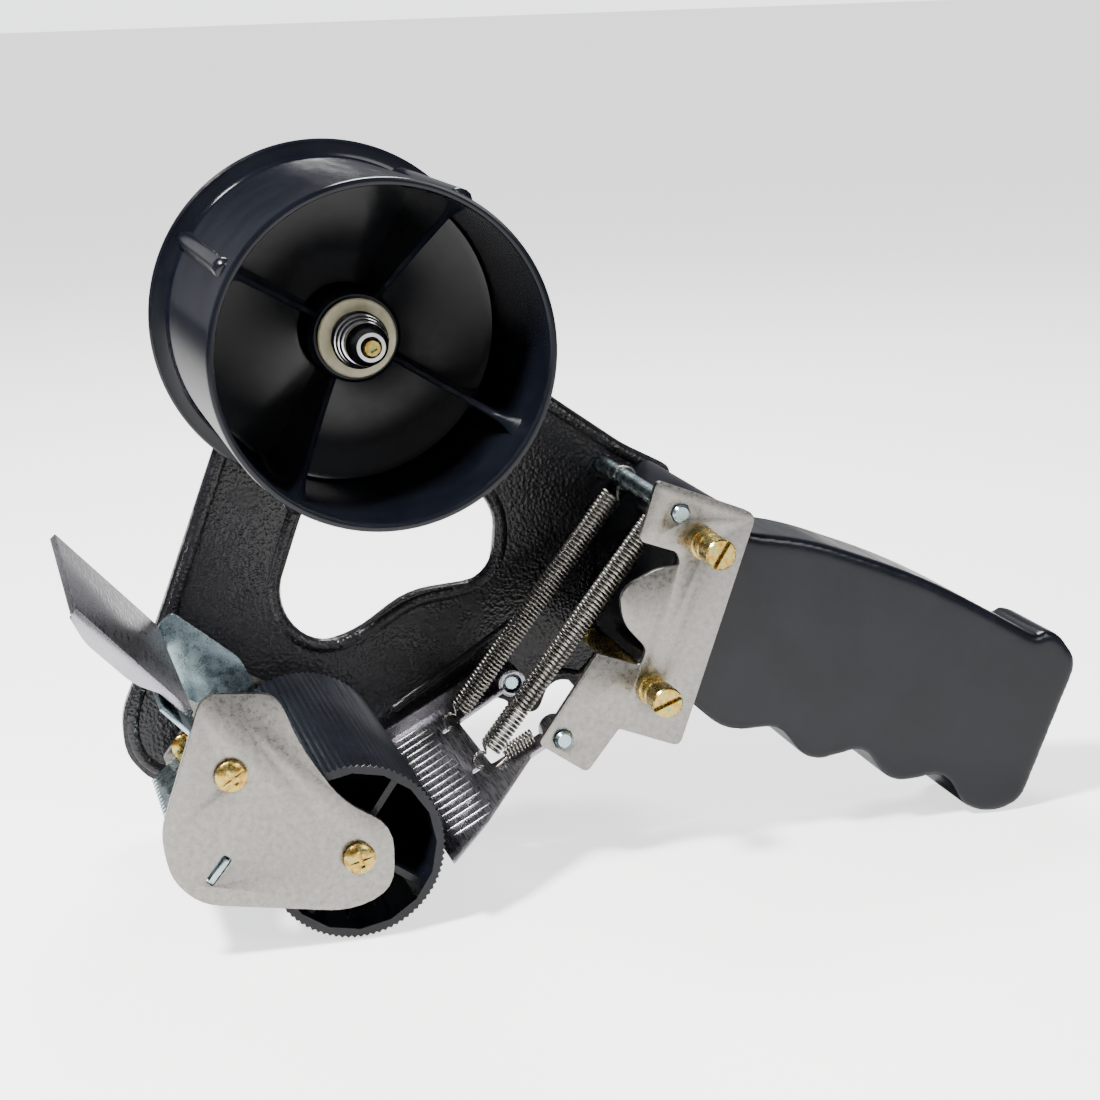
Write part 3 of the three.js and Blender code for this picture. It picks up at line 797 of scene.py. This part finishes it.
def guard_spring():
    """A plain torsion coil round the guard's pivot."""
    x, z = GUARD_PIVOT
    body = coil(at(x, -4.2, z), at(x, 9.6, z), 12, 3.5, 3.5, 0.5, 24)
    settle(show("guard_spring_coil", body, WIRE, 70), "guard", "spring_steel", "guard_spring")


ARM_LIFT, ARM_WIRE, ARM_COIL_R = 2.6, 0.36, 1.45


def arm_springs():
    """Short coils that lie along the tongue's two arms, each with a tail hooked over the sheet."""
    u = Vector((math.cos(TONGUE_ANGLE), 0, math.sin(TONGUE_ANGLE)))
    n = Vector((-math.sin(TONGUE_ANGLE), 0, math.cos(TONGUE_ANGLE)))
    for side, y in (("near", 21.6), ("far", 66.0)):
        middle = at(TONGUE_PIN[0], y, TONGUE_PIN[1]) + n * ARM_LIFT * MM
        body = coil(middle - u * 12.8 * MM, middle - u * 5.2 * MM, 9, ARM_COIL_R, ARM_COIL_R, ARM_WIRE, 18)
        tail = tube_mesh("tail", [
            middle - u * 12.8 * MM - n * 1.2 * MM, middle - u * 14.4 * MM - n * 1.5 * MM,
            middle - u * 16.0 * MM - n * 1.7 * MM], ARM_WIRE, 10)
        piece = show("arm_spring_%s_coil" % side, joined("arm_spring", [body, tail]), WIRE, 70)
        settle(piece, "tongue", "spring_steel", "arm_spring_" + side)


# ---------------------------------------------------------------------------------------------
# Sheet-metal parts
# ---------------------------------------------------------------------------------------------
def sheet_parts():
    for node, body, slot, material, edge in (
        ("front_side_plate", "frame", "nickel_plate", NICKEL, 0.45),
        ("far_side_plate", "frame", "nickel_plate", NICKEL, 0.3),
        ("rear_bracket", "frame", "nickel_plate", NICKEL, 0.45),
        ("guard_bracket", "guard", "zinc_plate", ZINC, 0.25),
        ("wiper_plate", "guard", "bright_sheet", SHEET, 0.25),
        ("blade", "frame", "zinc_plate", ZINC, 0.1),
        ("tongue", "tongue", "bright_sheet", SHEET, 0.2),
    ):
        settle(refined(node, material, edge), body, slot, node)


def tongue_ribs():
    """Pressed ribs that run up the sheet from its front edge."""
    mesh = grown_mesh(rib_tree(SHEET), {
        "Count": 17, "Spacing": 4.3 * MM, "Rib Length": 11 * MM, "Rib Width": 1.1 * MM,
        "Rib Height": 0.55 * MM, "Seed": 5})
    x, z = TONGUE_PIN
    turn = Matrix.Rotation(-TONGUE_ANGLE, 4, "Y")
    shift = Matrix.Translation(Vector((-28.5 * MM, 0, 0.55 * MM)))
    mesh.transform(Matrix.Translation(at(x, 2.6, z)) @ turn @ shift)
    settle(show("tongue_ribs", mesh, SHEET, 70), "tongue", "bright_sheet")


def plain_nodes():
    """Small hidden parts keep their own shape and take a finish."""
    for node, material in (
        ("drum_bushing", NYLON), ("far_side_spacer", ZINC), ("roller_spacer", ZINC), ("drum_axle_nut", ZINC),
    ):
        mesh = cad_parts[node].data
        mesh.materials.clear()
        mesh.materials.append(material)


# ---------------------------------------------------------------------------------------------
# Stage
# ---------------------------------------------------------------------------------------------
def camera():
    """A long lens to the left of the tool and above it, looking mostly along the drum's axis."""
    forward = Vector((0.24844, 0.94060, -0.23141)).normalized()
    right = Vector((0.96423, -0.26293, -0.03350)).normalized()
    up = right.cross(forward).normalized()
    right = forward.cross(up)
    data = bpy.data.cameras.new("camera")
    data.sensor_width = 36
    data.lens = 74.74
    data.clip_start = 0.02
    holder = bpy.data.objects.new("camera", data)
    bpy.context.scene.collection.objects.link(holder)
    turn = Matrix((right, up, -forward)).transposed().to_4x4()
    holder.matrix_world = Matrix.Translation(at(-89.68, -469.35, 197.11)) @ turn
    bpy.context.scene.camera = holder


def light(name, place, target, size, watts, color=(1, 1, 1)):
    data = bpy.data.lights.new(name, "AREA")
    data.shape = "DISK"
    data.size = size
    data.energy = watts
    data.color = color
    holder = bpy.data.objects.new(name, data)
    bpy.context.scene.collection.objects.link(holder)
    holder.location = place
    holder.rotation_mode = "QUATERNION"
    holder.rotation_quaternion = (Vector(target) - Vector(place)).to_track_quat("-Z", "Y")


FLOOR_HALF, FLOOR_DROP = 60.0, 0.0002
SKY_RANGES = {"From Min": 0.12, "From Max": 0.5, "To Min": 0.4, "To Max": 0.1}
BACKDROP_BOOST = 2.4  # added where the camera sees the sky directly


def stage():
    """A pale floor, a sky that dims towards the zenith, and three soft lights."""
    work = bmesh.new()
    bmesh.ops.create_grid(work, x_segments=1, y_segments=1, size=FLOOR_HALF)
    mesh = mesh_from(work, "floor")
    mesh.transform(Matrix.Translation((0, 0, -FLOOR_DROP)))
    floor = show("floor", mesh, pale_floor())
    world = bpy.data.worlds.new("studio")
    bpy.context.scene.world = world
    world.use_nodes = True
    nodes, links = world.node_tree.nodes, world.node_tree.links
    where = nodes.new("ShaderNodeTexCoord")
    parts = nodes.new("ShaderNodeSeparateXYZ")
    height = nodes.new("ShaderNodeMapRange")
    for socket, value in SKY_RANGES.items():
        height.inputs[socket].default_value = value
    seen = nodes.new("ShaderNodeLightPath")
    boost = nodes.new("ShaderNodeMath")
    boost.operation = "MULTIPLY_ADD"
    boost.inputs[1].default_value = BACKDROP_BOOST
    links.new(where.outputs["Generated"], parts.inputs[0])
    links.new(parts.outputs["Z"], height.inputs["Value"])
    links.new(seen.outputs["Is Camera Ray"], boost.inputs[0])
    links.new(height.outputs[0], boost.inputs[2])
    links.new(boost.outputs[0], nodes["Background"].inputs["Strength"])
    nodes["Background"].inputs["Color"].default_value = (0.95, 0.96, 1.0, 1)
    light("key", (-0.45, -0.25, 0.75), (0, 0, 0.07), 0.16, 26, (1.0, 0.985, 0.96))
    light("fill", (0.45, -0.75, 0.6), (0, 0, 0.05), 0.5, 4)
    light("rim", (0.1, 0.6, 0.8), (0, 0, 0.08), 0.4, 9)


camera()
stage()
frame_plate()
drum()
roller()
grip()
hub_stack()
hardware()
for spring_side in SPRING_DEPTHS:
    tension_spring(spring_side)
guard_spring()
arm_springs()
sheet_parts()
tongue_ribs()
plain_nodes()
